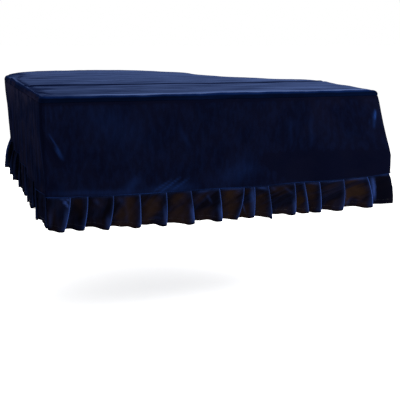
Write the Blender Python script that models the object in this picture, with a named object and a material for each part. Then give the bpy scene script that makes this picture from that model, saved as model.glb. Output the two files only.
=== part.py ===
"""A fitted velvet cover for a grand piano, one layer of cloth with a pleated frill.

Metres, +Z up.  The front faces -Y, the long straight side (the spine) is at -X and
the curved side (the cheek and bentside) at +X.  The origin is in the middle of the
top's underside.  Places on the cover are given by the distance along its edge,
which starts at the corner of spine and front and runs anticlockwise, seen from
above: front, bentside, tail, spine.
"""
import math

import bmesh
import bpy
import numpy as np
from mathutils import Vector
from mathutils.geometry import delaunay_2d_cdt

# Driving dimensions, in metres
WIDTH = 1.50                # across the front
FLAP_SEAM = 0.483           # front edge to the seam across the top
CHEEK = 0.50                # straight part of the curved side
SPINE = 1.12                # length of the straight side
REST = 0.70                 # front edge to the origin
CORNER = 0.026              # radius of the two front corners, seen from above
CLOTH = 0.002               # thickness of the velvet
GAP = 0.0003                # between two pieces that are sewn together
ROLL = 0.018                # radius of the rounded top edge
LIP = 0.004                 # straight part of the top below its rounded edge
WALL_FOOT = 0.392           # underside of the top to the frill's seam
HEM = 0.526                 # underside of the top to the frill's hem
TAIL_RISE = 0.078           # how much higher the seam and hem hang round the tail
TAIL_LEAN = 0.014           # how far the drop hangs in under the top round the tail
TAIL_FULL = (0.3, 0.1)      # how far past the bentside's and spine's ends both are full
BENTSIDE = 1.36             # front corner to the seam between bentside and tail
CORNER_PUSH = 0.014         # how far that corner is pushed out at the very top
CORNER_PUSH_WIDTH = 0.090   # half width of the push
CORNER_PUSH_DEPTH = 0.60    # part of the drop over which it dies out
FLARE = 0.106               # how far the corner of front and cheek swings out sideways
FLARE_FRONT = 0.240         # half width of that swing along the front
FLARE_CHEEK = 0.260         # half width of that swing along the cheek
FLARE_FULL = 0.77           # part of the drop over which it grows
FLARE_HEM = 1.19            # the swing at the hem for one at the seam

# The curved edge from the cheek round the tail to the spine, from the middle of
# the front edge
BENTSIDE_AND_TAIL = (
    # x, y
    (0.700, 0.640),
    (0.530, 0.745),
    (0.380, 0.880),
    (0.300, 1.040),
    (0.215, 1.250),
    (0.060, 1.425),
    (-0.170, 1.512),
    (-0.370, 1.508),
    (-0.570, 1.430),
    (-0.700, 1.290),
)

# Soft upright folds of the drop
FOLDS = (
    # side, place along it, half width, stands out, starts at this part of the drop
    ("front", 0.075, 0.040, 0.009, 0.20),
    ("front", 0.170, 0.060, -0.007, 0.25),
    ("front", 0.420, 0.110, 0.006, 0.40),
    ("front", 0.660, 0.070, -0.005, 0.45),
    ("front", 0.930, 0.120, 0.007, 0.35),
    ("front", 1.130, 0.060, -0.006, 0.20),
    ("front", 1.240, 0.050, 0.007, 0.15),
    ("front", 1.340, 0.060, -0.010, 0.25),
    ("bentside", 0.250, 0.060, 0.012, 0.10),
    ("bentside", 0.390, 0.050, -0.010, 0.20),
    ("bentside", 0.560, 0.070, 0.018, 0.05),
    ("bentside", 0.740, 0.060, -0.012, 0.15),
    ("bentside", 0.900, 0.065, 0.014, 0.15),
    ("bentside", 1.080, 0.060, -0.012, 0.20),
    ("bentside", 1.250, 0.070, 0.014, 0.10),
    ("tail", 0.080, 0.050, -0.010, 0.15),
    ("tail", 0.210, 0.060, 0.013, 0.10),
    ("tail", 0.350, 0.055, -0.012, 0.20),
    ("tail", 0.490, 0.060, 0.012, 0.10),
    ("tail", 0.640, 0.060, -0.014, 0.10),
    ("tail", 0.780, 0.055, 0.012, 0.15),
    ("tail", 0.900, 0.060, -0.012, 0.05),
    ("spine", 0.000, 0.130, -0.009, 0.00),
    ("spine", 0.060, 0.050, 0.008, 0.10),
    ("spine", 0.170, 0.045, -0.010, 0.10),
    ("spine", 0.280, 0.050, 0.011, 0.05),
    ("spine", 0.390, 0.045, -0.009, 0.15),
    ("spine", 0.510, 0.055, 0.012, 0.10),
    ("spine", 0.630, 0.045, -0.010, 0.05),
    ("spine", 0.740, 0.050, 0.010, 0.15),
    ("spine", 0.860, 0.050, -0.009, 0.10),
    ("spine", 0.970, 0.045, 0.010, 0.10),
    ("spine", 1.070, 0.040, -0.008, 0.20),
    ("spine", 1.100, 0.160, -0.012, 0.00),
)
FOLD_FULL = 1.15            # part of the drop at which a fold would be full
FOLD_FALL = 1.2             # how steeply a fold falls off to its sides

# Pleats of the frill on the front, left to right
FRONT_PLEATS = (
    # folded edge at the seam, lean, stands out, doubles back and dips at the hem
    (0.099, -0.029, 0.026, -0.006, 0.001),
    (0.170, -0.019, 0.030, -0.004, 0.001),
    (0.275, -0.027, 0.034, 0.002, 0.002),
    (0.385, -0.003, 0.024, 0.004, 0.001),
    (0.501, -0.007, 0.028, 0.004, 0.001),
    (0.611, 0.010, 0.034, -0.002, 0.000),
    (0.740, 0.004, 0.032, 0.002, 0.002),
    (0.851, -0.034, 0.024, 0.002, 0.001),
    (0.899, -0.006, 0.026, -0.002, -0.003),
    (0.965, 0.007, 0.038, 0.004, 0.009),
    (1.092, -0.003, 0.028, 0.002, 0.001),
    (1.136, 0.015, 0.022, 0.002, 0.001),
    (1.197, -0.001, 0.024, 0.004, 0.001),
    (1.291, -0.013, 0.030, 0.000, 0.001),
    (1.379, 0.005, 0.034, -0.004, 0.001),
)

# Pleats of the frill on the other sides, evenly shared along each
PLEATED_SIDES = (
    # side, pleats, stand out at its start, middle and end
    ("bentside", 11, 0.034, 0.032, 0.030),
    ("tail", 8, 0.030, 0.034, 0.040),
    ("spine", 9, 0.042, 0.006, 0.004),
)
PLEAT_SHARE = 0.62          # part of its stretch at which such a pleat folds
PLEAT_UNEVEN = 0.013        # how far such a pleat lies from its even place
PLEAT_LEAN = 0.012          # how far its fold leans at the hem, at most
PLEAT_OUT_UNEVEN = 0.15     # part by which its stand-out differs
PLEAT_OPEN = 0.65           # how far it is open at the hem for its stand-out, at most
PLEAT_DIP = (-0.002, 0.004)
PLEAT_SEED = 7

# Every pleat
SEAM_STAND = 0.0005         # how far its front stands out from the drop at the seam
PLEAT_HEAD = 0.013          # how far it doubles back at the seam
LAYER_STEP = 0.0035         # from one of its layers to the next at the seam
PLEAT_BACK = 0.009          # how far the hem swings in behind the seam
HEM_ROUND = 0.008           # radius of its fold at the hem
FOLD_ARC = ((0.87, 0.5), (1.0, 1.3))    # points of the fold, along and back in, in radii
BEHIND_FOLD = 0.002         # from its fold to the next flat part
FLAT_BOW = 0.35             # part of a flat part's rise that is even

# The hem hangs lower beside each fold; it and the frill's seam hang unevenly
HEM_DIP = (0.006, 0.015, 0.022)     # depth, distance before the fold, half width
HEM_SAG = (
    # side, place along it, how much lower the hem hangs
    ("front", 0.00, 0.006),
    ("front", 0.20, 0.005),
    ("front", 0.35, 0.011),
    ("front", 0.46, 0.008),
    ("front", 0.53, 0.012),
    ("front", 0.60, 0.014),
    ("front", 0.67, 0.009),
    ("front", 0.80, 0.009),
    ("front", 0.90, 0.006),
    ("front", 1.15, 0.006),
    ("front", 1.33, -0.001),
    ("front", 1.43, -0.004),
    ("front", 1.49, -0.003),
    ("bentside", 0.40, 0.000),
    ("spine", 0.60, 0.000),
    ("spine", 0.90, -0.010),
    ("spine", 1.10, -0.001),
)
SEAM_SAG = (
    # side, place along it, how much lower the seam hangs
    ("front", 0.00, 0.007),
    ("front", 0.10, 0.010),
    ("front", 0.30, 0.012),
    ("front", 0.90, 0.011),
    ("front", 1.05, 0.007),
    ("front", 1.20, 0.006),
    ("front", 1.30, 0.003),
    ("front", 1.40, -0.002),
    ("front", 1.49, -0.012),
    ("bentside", 0.30, 0.000),
    ("spine", 0.90, 0.000),
)

# How finely the solids are made
CORNER_STEPS = 8
CURVE_STEPS = 24
RUN_IN = 0.10               # length of the straight that leads into the curve
WAY_REACH = 0.006           # to the points on both sides that give the way out
TOP_SPACING = 0.060         # points along the rounded edge
TOP_GRID = 0.130            # points across the top
TOP_WAVE = 0.0008           # its slight waves
SEAM_PARTS = 10             # parts of the seam across the top
CORNER_SHARES = (-0.5, -0.25, 0.0, 0.25, 0.5)   # points round a front corner
CLOSEST = 0.007             # two points along the edge are no closer
DROP_SPACING = 0.030
DROP_LEVELS = (0.0, 0.16, 0.34, 0.54, 0.74, 0.90, 1.0)
FRILL_LEVELS = (0.0, 0.12, 0.40, 0.72, 1.0)
FLAT_SHARES = (0.0, 0.38, 0.74)
SHARPEST = 0.55             # cosine of the sharpest half turn that is mitred in full
MERGE = 1e-7

VELVET_COLOUR = (0.006, 0.012, 0.055, 1.0)
VELVET_ROUGHNESS = 0.75


def arc(centre, start, sweep, steps):
    """Points of a front corner, from start through sweep degrees."""
    points = []
    for k in range(steps + 1):
        angle = math.radians(start + sweep * k / steps)
        points.append((centre[0] + CORNER * math.cos(angle), centre[1] + CORNER * math.sin(angle)))
    return points


def curve_through(points, per_span):
    """A smooth curve from the second point to the last but one."""
    rows = []
    for a, b, c, d in zip(points, points[1:], points[2:], points[3:]):
        for k in range(per_span):
            t = k / per_span
            rows.append(
                b + (c - a) * t / 2 + (2 * a - 5 * b + 4 * c - d) * t ** 2 / 2
                + (3 * b - a - 3 * c + d) * t ** 3 / 2
            )
    return rows + [points[-2]]


def edge_line():
    """The edge of the top seen from above, in close points."""
    half = WIDTH / 2
    left = (CORNER - half, CORNER)
    right = (half - CORNER, CORNER)
    cheek_end = np.array((half, CHEEK))
    spine_end = np.array((-half, SPINE))
    run_in = np.array((0.0, RUN_IN))
    guides = [cheek_end - run_in, cheek_end]
    guides += [np.array(p) for p in BENTSIDE_AND_TAIL]
    guides += [spine_end, spine_end - run_in]
    rows = arc(left, 225, 45, CORNER_STEPS) + arc(right, 270, 90, 2 * CORNER_STEPS)
    rows += curve_through(guides, CURVE_STEPS) + arc(left, 180, 45, CORNER_STEPS)
    points = np.array([tuple(p) for p in rows])
    points[:, 1] -= REST
    return points


LINE = edge_line()
DISTANCE = np.concatenate(([0.0], np.cumsum(np.linalg.norm(np.diff(LINE, axis=0), axis=1))))
AROUND = DISTANCE[-1]
ARC = CORNER * math.pi / 2
FRONT_RUN = ARC + WIDTH - 2 * CORNER
SPINE_START = AROUND - ARC / 2 - (SPINE - CORNER)
SIDES = {
    "front": (0.0, FRONT_RUN),
    "bentside": (FRONT_RUN, FRONT_RUN + BENTSIDE),
    "tail": (FRONT_RUN + BENTSIDE, SPINE_START),
    "spine": (SPINE_START, AROUND),
}


def place(s):
    """The points on the edge line at the distances s, and the ways out of the cover."""
    s = np.asarray(s, float)
    here, before, after = [
        np.stack([np.interp(s + step, DISTANCE, LINE[:, k], period=AROUND) for k in (0, 1)], axis=-1)
        for step in (0.0, -WAY_REACH, WAY_REACH)
    ]
    along = (after - before) / np.linalg.norm(after - before, axis=-1)[..., None]
    return here, np.stack([along[..., 1], -along[..., 0]], axis=-1)


def soft(t):
    """Zero up to 0, one from 1, and smooth between."""
    t = np.clip(t, 0.0, 1.0)
    return t * t * (3 - 2 * t)


def sag(s, table):
    """How much lower an edge of the cloth hangs at s, from a table like HEM_SAG."""
    places = [SIDES[side][0] + along for side, along, lower in table]
    return np.interp(s, places, [row[2] for row in table], period=AROUND)


def round_tail(s):
    """One round the tail and zero at the front."""
    s = np.mod(s, AROUND)
    up = soft((s - FRONT_RUN) / (BENTSIDE + TAIL_FULL[0]))
    return up * soft((AROUND - s) / (AROUND - SPINE_START + TAIL_FULL[1]))


def around_bump(s, centre, half_width):
    """A soft hump along the edge, one at its centre."""
    off = np.mod(s - centre + AROUND / 2, AROUND) - AROUND / 2
    return np.exp(-FOLD_FALL * (off / half_width) ** 2)


def sideways(aside):
    """Moves along X by the given distances."""
    return np.stack((aside, np.zeros_like(aside)), axis=-1)


def swing(s, down):
    """How far the cloth swings sideways off the corner of front and cheek, with down
    from 0 at the top of the drop to 1 at the frill's seam and 2 at the hem."""
    half_width = np.where(np.mod(s, AROUND) < FRONT_RUN, FLARE_FRONT, FLARE_CHEEK)
    grown = min(down / FLARE_FULL, 1.0) + (FLARE_HEM - 1.0) * (1.0 - min(2.0 - down, 1.0) ** 2)
    aside = FLARE * grown * around_bump(s, FRONT_RUN, half_width)
    left = 1.0 - soft(down / CORNER_PUSH_DEPTH)
    return sideways(aside + CORNER_PUSH * left * around_bump(s, FRONT_RUN, CORNER_PUSH_WIDTH))


def stand_out(s, down):
    """How far the drop stands out from the edge line, with down from 0 at its top
    to 1 at the frill's seam."""
    out = -TAIL_LEAN * down * round_tail(s)
    for side, along, half_width, fold, start in FOLDS:
        growth = soft((down - start) / (FOLD_FULL - start))
        out += fold * growth * around_bump(s, SIDES[side][0] + along, half_width)
    return out


def velvet(name):
    """Dark blue velvet for one piece."""
    material = bpy.data.materials.new(name + "_velvet")
    material.use_nodes = True
    shader = material.node_tree.nodes["Principled BSDF"]
    shader.inputs["Base Color"].default_value = VELVET_COLOUR
    shader.inputs["Roughness"].default_value = VELVET_ROUGHNESS
    shader.inputs["Metallic"].default_value = 0.0
    return material


def cloth_piece(name, outer, inner, faces):
    """One closed piece of cloth, from the points of its outer and inner sides and
    the faces of the outer one."""
    bm = bmesh.new()
    outside = [bm.verts.new(p) for p in outer]
    inside = [bm.verts.new(p) for p in inner]
    edges = set()
    for face in faces:
        bm.faces.new([outside[i] for i in face])
        bm.faces.new([inside[i] for i in reversed(face)])
        edges.update(zip(face, face[1:] + face[:1]))
    for a, b in sorted(edges):
        if (b, a) not in edges:
            bm.faces.new([outside[b], outside[a], inside[a], inside[b]])
    bmesh.ops.triangulate(bm, faces=bm.faces)
    bmesh.ops.recalc_face_normals(bm, faces=bm.faces)
    mesh = bpy.data.meshes.new(name)
    bm.to_mesh(mesh)
    bm.free()
    mesh.shade_smooth()
    mesh.set_sharp_from_angle(angle=math.radians(50))
    mesh.materials.append(velvet(name))
    piece = bpy.data.objects.new(name, mesh)
    bpy.context.scene.collection.objects.link(piece)


def grid_faces(columns, rows):
    """The four-sided faces of a grid whose points run down each column."""
    faces = []
    for c in range(columns - 1):
        for r in range(rows - 1):
            i = c * rows + r
            faces.append([i, i + 1, i + rows + 1, i + rows])
    return faces


def stations(start, end, spacing):
    """Distances along the edge from start to end, closer together at the front's
    corners."""
    found = list(np.linspace(start, end, math.ceil((end - start) / spacing) + 1))
    for corner in (0.0, FRONT_RUN, AROUND):
        for share in CORNER_SHARES:
            found.append(corner + share * ARC)
    found = sorted(s for s in found if start <= s <= end)
    kept = [found[0]]
    for s in found[1:]:
        if s - kept[-1] > CLOSEST:
            kept.append(s)
    kept[-1] = end
    return np.array(kept)


def well_inside(point, loop, margin):
    """Whether a point lies inside a closed loop, further than margin from it."""
    nxt = np.roll(loop, -1, axis=0)
    side = nxt - loop
    t = np.clip(np.sum((point - loop) * side, axis=1) / np.sum(side * side, axis=1), 0.0, 1.0)
    if np.min(np.linalg.norm(loop + side * t[:, None] - point, axis=1)) < margin:
        return False
    crosses = (loop[:, 1] > point[1]) != (nxt[:, 1] > point[1])
    x = loop[crosses, 0] + (point[1] - loop[crosses, 1]) * side[crosses, 0] / side[crosses, 1]
    return np.count_nonzero(x > point[0]) % 2 == 1


def top_panel(name, start, end):
    """A flat panel of the top, whose edge between two places is rounded over and
    turned down.  Its straight side joins those two places."""
    around = stations(start, end, TOP_SPACING)
    here, out = place(around)
    outer = []
    inner = []
    turns = [math.radians(turn) for turn in (0, 30, 60, 90)]
    for p, n, aside in zip(here, out, swing(around, 0.0)):
        for points, radius in ((outer, ROLL), (inner, ROLL - CLOTH)):
            for turn in turns:
                flat = p - n * (ROLL - radius * math.sin(turn)) + aside * math.sin(turn)
                points.append((flat[0], flat[1], CLOTH - ROLL + radius * math.cos(turn)))
            points.append((flat[0], flat[1], CLOTH - ROLL - LIP))
    rows = len(turns) + 1
    faces = grid_faces(len(around), rows)
    index = list(range(0, len(outer), rows))
    rim = np.array([outer[i][:2] for i in index])
    straight = [rim[-1] + (rim[0] - rim[-1]) * k / SEAM_PARTS for k in range(1, SEAM_PARTS)]
    loop = np.vstack((rim, straight))
    grid = []
    for x in np.arange(loop[:, 0].min(), loop[:, 0].max(), TOP_GRID):
        for y in np.arange(loop[:, 1].min(), loop[:, 1].max(), TOP_GRID):
            if well_inside(np.array((x, y)), loop, TOP_GRID / 3):
                grid.append(np.array((x, y)))
    for p in straight + grid:
        index.append(len(outer))
        wave = 0.0 if len(index) <= len(loop) else TOP_WAVE * math.sin(9 * p[0] + 4 * p[1])
        outer.append((p[0], p[1], CLOTH + wave))
        inner.append((p[0], p[1], wave))
    flat = [Vector(p) for p in list(loop) + grid]
    filled = delaunay_2d_cdt(flat, [], [list(range(len(loop)))], 1, MERGE)
    for face in filled[2]:
        faces.append([index[filled[3][i][0]] for i in face])
    cloth_piece(name, outer, inner, faces)


def drop_panel(side):
    """An upright panel of the drop, hanging in soft folds."""
    start, end = SIDES[side]
    around = stations(start + GAP / 2, end - GAP / 2, DROP_SPACING)
    here, out = place(around)
    head = CLOTH - ROLL - LIP - GAP
    outer = []
    inner = []
    reach = [stand_out(around, down) for down in DROP_LEVELS]
    aside = [swing(around, down) for down in DROP_LEVELS]
    for c, s in enumerate(around):
        foot = -WALL_FOOT + TAIL_RISE * round_tail(s) - sag(s, SEAM_SAG)
        for r, down in enumerate(DROP_LEVELS):
            z = head + (foot - head) * down
            face = here[c] + out[c] * reach[r][c] + aside[r][c]
            back = face - out[c] * CLOTH
            outer.append((face[0], face[1], z))
            inner.append((back[0], back[1], z))
    cloth_piece("drop_" + side, outer, inner, grid_faces(len(around), len(DROP_LEVELS)))


def all_pleats():
    """Every pleat round the cover, as rows like those of FRONT_PLEATS."""
    rng = np.random.default_rng(PLEAT_SEED)
    rows = list(FRONT_PLEATS)
    for side, count, *stands in PLEATED_SIDES:
        start, end = SIDES[side]
        pitch = (end - start) / count
        for k in range(count):
            out = np.interp(k / (count - 1), (0.0, 0.5, 1.0), stands)
            rows.append((
                start + (k + PLEAT_SHARE) * pitch + rng.uniform(-1, 1) * PLEAT_UNEVEN,
                rng.uniform(-1, 1) * PLEAT_LEAN,
                out * (1.0 + rng.uniform(-1, 1) * PLEAT_OUT_UNEVEN),
                -PLEAT_OPEN * rng.uniform(0.0, 1.0) * out,
                rng.uniform(*PLEAT_DIP),
            ))
    return rows


PLEATS = all_pleats()


def pleat(k, v):
    """Pleat k at v, from 0 at the seam to 1 at the hem: its folded edge, how far
    it doubles back, and the outward places of its front, middle and back."""
    turn, k = divmod(k, len(PLEATS))
    edge, lean, out, double = PLEATS[k][:4]
    front = SEAM_STAND + (out - SEAM_STAND) * (1.0 - (1.0 - v) ** 2)
    back = SEAM_STAND - 2 * LAYER_STEP - (PLEAT_BACK - 2 * LAYER_STEP) * v
    middle = (front + back) / 2 * (1 - v) + (back + LAYER_STEP) * v
    return (edge + lean * v + turn * AROUND, PLEAT_HEAD + (double - PLEAT_HEAD) * v, front, middle, back)


def flat_part(k, v):
    """The ends of the flat part that runs up to pleat k, and its outward places."""
    before = pleat(k - 1, v)
    here = pleat(k, v)
    return before[0] + abs(before[1]) / 2 + BEHIND_FOLD, here[0] + here[1] / 2, before[4], here[2]


def flat_out(k, v, s):
    """How far the flat part before pleat k stands out at s; where the pleat lies
    doubled it has come out in full."""
    start, end, low, high = flat_part(k, v)
    full = end - max(pleat(k, v)[1], 0.0) * (1.0 - v)
    t = np.clip((s - start) / (full - start), 0.0, 1.0)
    return low + (high - low) * (FLAT_BOW * t + (1.0 - FLAT_BOW) * t ** 3)


def frill_line(side, v):
    """The middle of the frill's cloth at v: rows of place, stand-out, the pleat's own
    dip and the distance to the folded edge."""
    start, end = SIDES[side]
    start += GAP / 2
    end -= GAP / 2
    inside = [k for k, row in enumerate(PLEATS) if start < row[0] < end]
    fold = LAYER_STEP / 2 + (HEM_ROUND - LAYER_STEP / 2) * v
    rows = [(start, flat_out(inside[0], v, start), 0.0, flat_part(inside[0], v)[1] - start)]
    for k in inside:
        first, last = flat_part(k, v)[:2]
        shares = FLAT_SHARES
        if k == inside[0]:
            shares = (0.5,)
            first = start
        for share in shares:
            s = first + (last - first) * share
            rows.append((s, flat_out(k, v, s), 0.0, last - s))
        edge, double, front, middle, back = pleat(k, v)
        dip = PLEATS[k][4] * v
        rows.append((last, front, dip, 0.0))
        for along, back_in in FOLD_ARC:
            rows.append((last + along * fold, front - back_in * fold, dip, -along * fold))
        rows.append((edge - double / 2, middle, 0.0, 2 * PLEAT_HEAD))
        rows.append((edge - double / 2, back, 0.0, 2 * PLEAT_HEAD))
    last_k = inside[-1] + 1
    first, last = flat_part(last_k, v)[:2]
    for share in (0.0, 0.5, 1.0):
        s = first + (end - first) * share
        rows.append((s, flat_out(last_k, v, s), 0.0, last - s))
    return np.array(rows)


def frill(side):
    """The pleated frill under one panel of the drop, with its hem."""
    depth, before_fold, half_width = HEM_DIP
    sheets = []
    for v in FRILL_LEVELS:
        s, reach, dip, to_fold = frill_line(side, v).T
        here, out = place(s)
        plan = here + out * (stand_out(s, 1.0) + reach - CLOTH / 2)[:, None]
        plan += swing(s, 1.0 + v)
        dip += depth * v ** 2 * np.exp(-FOLD_FALL * ((to_fold - before_fold) / half_width) ** 2)
        seam = -WALL_FOOT - GAP - sag(s, SEAM_SAG)
        hem = -HEM - sag(s, HEM_SAG)
        z = seam + (hem - seam) * v + TAIL_RISE * round_tail(s) - dip
        step = np.diff(plan, axis=0)
        step /= np.linalg.norm(step, axis=1)[:, None]
        faces_out = np.stack((step[:, 1], -step[:, 0]), axis=1)
        way = faces_out[:-1] + faces_out[1:]
        way /= np.linalg.norm(way, axis=1)[:, None]
        corner = np.maximum(np.sum(way * faces_out[1:], axis=1), SHARPEST)
        way = np.vstack((out[:1], way / corner[:, None], out[-1:]))
        shift = way * CLOTH / 2
        sheets.append((plan + shift, plan - shift, z))
    outer = []
    inner = []
    for c in range(len(sheets[0][2])):
        for front, back, z in sheets:
            outer.append((front[c, 0], front[c, 1], z[c]))
            inner.append((back[c, 0], back[c, 1], z[c]))
    cloth_piece("ruffle_" + side, outer, inner, grid_faces(len(sheets[0][2]), len(FRILL_LEVELS)))


for old in list(bpy.data.objects):
    bpy.data.objects.remove(old)

seam_on_spine = -(FLAP_SEAM - CORNER + ARC / 2)
seam_on_cheek = FRONT_RUN + ARC / 2 + FLAP_SEAM - CORNER
top_panel("top_front", seam_on_spine + GAP / 2, seam_on_cheek - GAP / 2)
top_panel("top_main", seam_on_cheek + GAP / 2, seam_on_spine + AROUND - GAP / 2)
for side_name in SIDES:
    drop_panel(side_name)
    frill(side_name)
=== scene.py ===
import math

import bpy
import numpy as np
from mathutils import Matrix, Vector
from mathutils.geometry import delaunay_2d_cdt


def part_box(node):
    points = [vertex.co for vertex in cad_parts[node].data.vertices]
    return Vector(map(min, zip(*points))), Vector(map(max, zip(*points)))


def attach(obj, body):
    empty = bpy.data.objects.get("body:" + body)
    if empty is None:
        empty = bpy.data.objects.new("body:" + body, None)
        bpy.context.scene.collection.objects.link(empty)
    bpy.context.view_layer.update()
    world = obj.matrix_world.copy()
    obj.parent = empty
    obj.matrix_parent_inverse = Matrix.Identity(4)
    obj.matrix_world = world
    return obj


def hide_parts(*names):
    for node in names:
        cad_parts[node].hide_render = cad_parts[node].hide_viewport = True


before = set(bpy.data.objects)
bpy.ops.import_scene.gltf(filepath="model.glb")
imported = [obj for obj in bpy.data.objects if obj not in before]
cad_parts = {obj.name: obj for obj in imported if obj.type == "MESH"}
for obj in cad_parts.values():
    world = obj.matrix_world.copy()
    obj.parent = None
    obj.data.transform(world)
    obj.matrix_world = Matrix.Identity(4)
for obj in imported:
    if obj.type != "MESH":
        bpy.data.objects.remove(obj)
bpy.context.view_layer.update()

# The top
# Two pieces of dark blue velvet, a straight strip at the front and a harp-shaped main
# panel, are joined by one seam across.  Their edge is rounded over and turned down, and
# the sides of the cover are sewn on just below it.
strip_low, strip_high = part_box("top_front")
HALF = -strip_low[0]            # half the width across the front
FRONT_Y = strip_low[1]
SEAM_Y = strip_high[1]
TOP_Z = 0.002
CROWN = 0.0035                  # how far the cloth of the top lies above its edge
CLOTH = 0.0018                  # thickness of the velvet
GAP = 0.0003                    # between two sewn pieces
ROLL = 0.018                    # radius of the rounded edge
LIP = 0.004                     # straight part below it
LIP_BEND = 0.6                  # part of the lip above its bend
LIP_IN = 0.0012                 # how far its lower edge lies in
EDGE_TURNS = np.radians((0, 5, 11, 18, 26, 35, 45, 56, 67, 78, 90))
FIRST_TURNED = 3                # first row of the edge that takes the darker copy of the velvet, as painted shade
EDGE_STEP = 0.007               # from one column of the edge to the next
EDGE_PAINTED_CAST = 1.1               # how strongly the painted cast, a greyer sheen, shows on the turned edge along the spine
TOP_STEP = 0.008                # from one point of the flat top to the next
BESIDE_SEAM = (0.0018, 0.0035, 0.006, 0.010)    # closer rows at each side of the seam
CLEAR_OF_SEAM = 0.013           # nearest plain row beside those
TUCKS = (
    # the strip's edge under the main panel: how far each row goes back and down
    (0.0003, 0.0022),
    (0.0045, 0.0034),
)
CORNER = 0.026                  # radius of the front corners, seen from above
CORNER_PUSH = 0.014             # how far the corner of front and cheek is pushed out
CORNER_PUSH_WIDTH = 0.090       # half width of the push
CORNER_PUSH_DEPTH = 0.60        # part of the drop over which it dies out
CHEEK = 0.50                    # straight part of the curved side
SPINE = 1.12                    # length of the straight side
BENTSIDE = 1.36                 # front corner to the seam between bentside and tail
BENTSIDE_AND_TAIL = (
    # x, distance back from the front edge
    (0.700, 0.640),
    (0.530, 0.745),
    (0.380, 0.880),
    (0.300, 1.040),
    (0.215, 1.250),
    (0.060, 1.425),
    (-0.170, 1.512),
    (-0.370, 1.508),
    (-0.570, 1.430),
    (-0.700, 1.290),
)

# Soft ridges and troughs of the top, as it lies, each with its painted light and shade
TOP_CREASES = (
    # from x, back; to x, back; half width; height; painted light (painted shade below 0)
    (-0.719, 0.395, -0.716, 0.900, 0.009, -0.0050, -0.42),
    (-0.736, 0.420, -0.740, 1.000, 0.010, 0.0030, -0.06),
    (-0.665, 0.905, -0.560, 0.880, 0.012, -0.0030, -0.25),
    (-0.716, 0.900, -0.640, 1.230, 0.014, -0.0045, -0.16),
    (-0.752, 1.030, -0.740, 1.125, 0.024, 0.0000, -0.42),
    (-0.700, 1.020, -0.650, 1.180, 0.010, 0.0040, 0.12),
    (-0.742, 0.780, -0.728, 0.960, 0.009, 0.0040, 0.20),
    (-0.600, 1.300, -0.520, 1.180, 0.018, 0.0030, 0.05),
    (-0.735, 0.300, -0.640, 0.360, 0.014, -0.0035, -0.30),
    (-0.715, 0.210, -0.640, 0.250, 0.011, 0.0030, 0.06),
    (-0.742, 0.240, -0.690, 0.100, 0.012, -0.0040, -0.38),
    (-0.700, 0.115, -0.560, 0.120, 0.010, -0.0020, -0.12),
    (-0.742, 0.115, -0.738, 0.085, 0.006, 0.0030, 0.28),
    (-0.735, 0.060, -0.700, 0.030, 0.007, 0.0030, 0.34),
    (-0.728, 0.130, -0.715, 0.060, 0.007, 0.0025, 0.22),
    (-0.738, 0.960, -0.744, 0.860, 0.008, 0.0030, 0.25),
    (-0.600, 0.640, -0.300, 0.655, 0.016, 0.0014, 0.04),
    (-0.560, 0.560, -0.220, 0.580, 0.012, -0.0012, -0.07),
    (-0.100, 0.660, 0.230, 0.640, 0.014, -0.0012, -0.06),
    (-0.200, 0.900, 0.150, 0.930, 0.040, 0.0018, 0.06),
    (-0.620, 0.750, -0.380, 0.760, 0.018, -0.0014, -0.06),
    (-0.500, 1.250, 0.020, 1.300, 0.045, 0.0020, 0.05),
    (-0.450, 0.290, 0.100, 0.270, 0.030, 0.0016, 0.04),
    (-0.500, 0.170, -0.080, 0.160, 0.016, -0.0014, -0.07),
    (0.020, 0.330, 0.420, 0.320, 0.018, -0.0014, -0.06),
    (0.050, 0.620, 0.450, 0.600, 0.030, -0.0016, -0.05),
    (0.200, 0.200, 0.600, 0.180, 0.035, 0.0015, 0.06),
    (-0.100, 1.380, 0.060, 1.300, 0.016, 0.0028, 0.08),
    (-0.420, 1.470, -0.350, 1.380, 0.016, 0.0026, 0.08),
    (0.270, 1.000, 0.170, 1.010, 0.016, 0.0024, 0.08),
    (0.660, 0.050, 0.690, 0.220, 0.015, 0.0018, 0.06),
    (0.700, 0.014, 0.752, 0.040, 0.026, -0.0030, -0.36),
    (0.735, 0.060, 0.742, 0.300, 0.010, -0.0025, -0.16),
)


def arc(centre, start, sweep, steps):
    """Points of a front corner, from start through sweep degrees."""
    points = []
    for k in range(steps + 1):
        angle = math.radians(start + sweep * k / steps)
        points.append((centre[0] + CORNER * math.cos(angle), centre[1] + CORNER * math.sin(angle)))
    return points


def curve_through(points, per_span):
    """A smooth curve from the second point to the last but one."""
    rows = []
    for a, b, c, d in zip(points, points[1:], points[2:], points[3:]):
        for k in range(per_span):
            t = k / per_span
            rows.append(
                b + (c - a) * t / 2 + (2 * a - 5 * b + 4 * c - d) * t ** 2 / 2
                + (3 * b - a - 3 * c + d) * t ** 3 / 2
            )
    return rows + [points[-2]]


def edge_line():
    """The cover's edge seen from above, anticlockwise from the corner of spine and
    front."""
    left = (CORNER - HALF, CORNER)
    right = (HALF - CORNER, CORNER)
    cheek_end = np.array((HALF, CHEEK))
    spine_end = np.array((-HALF, SPINE))
    run_in = np.array((0.0, 0.10))
    guides = [cheek_end - run_in, cheek_end]
    guides += [np.array(p) for p in BENTSIDE_AND_TAIL]
    guides += [spine_end, spine_end - run_in]
    rows = arc(left, 225, 45, 8) + arc(right, 270, 90, 16)
    rows += curve_through(guides, 24) + arc(left, 180, 45, 8)
    points = np.array([tuple(p) for p in rows])
    points[:, 1] += FRONT_Y
    return points


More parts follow.
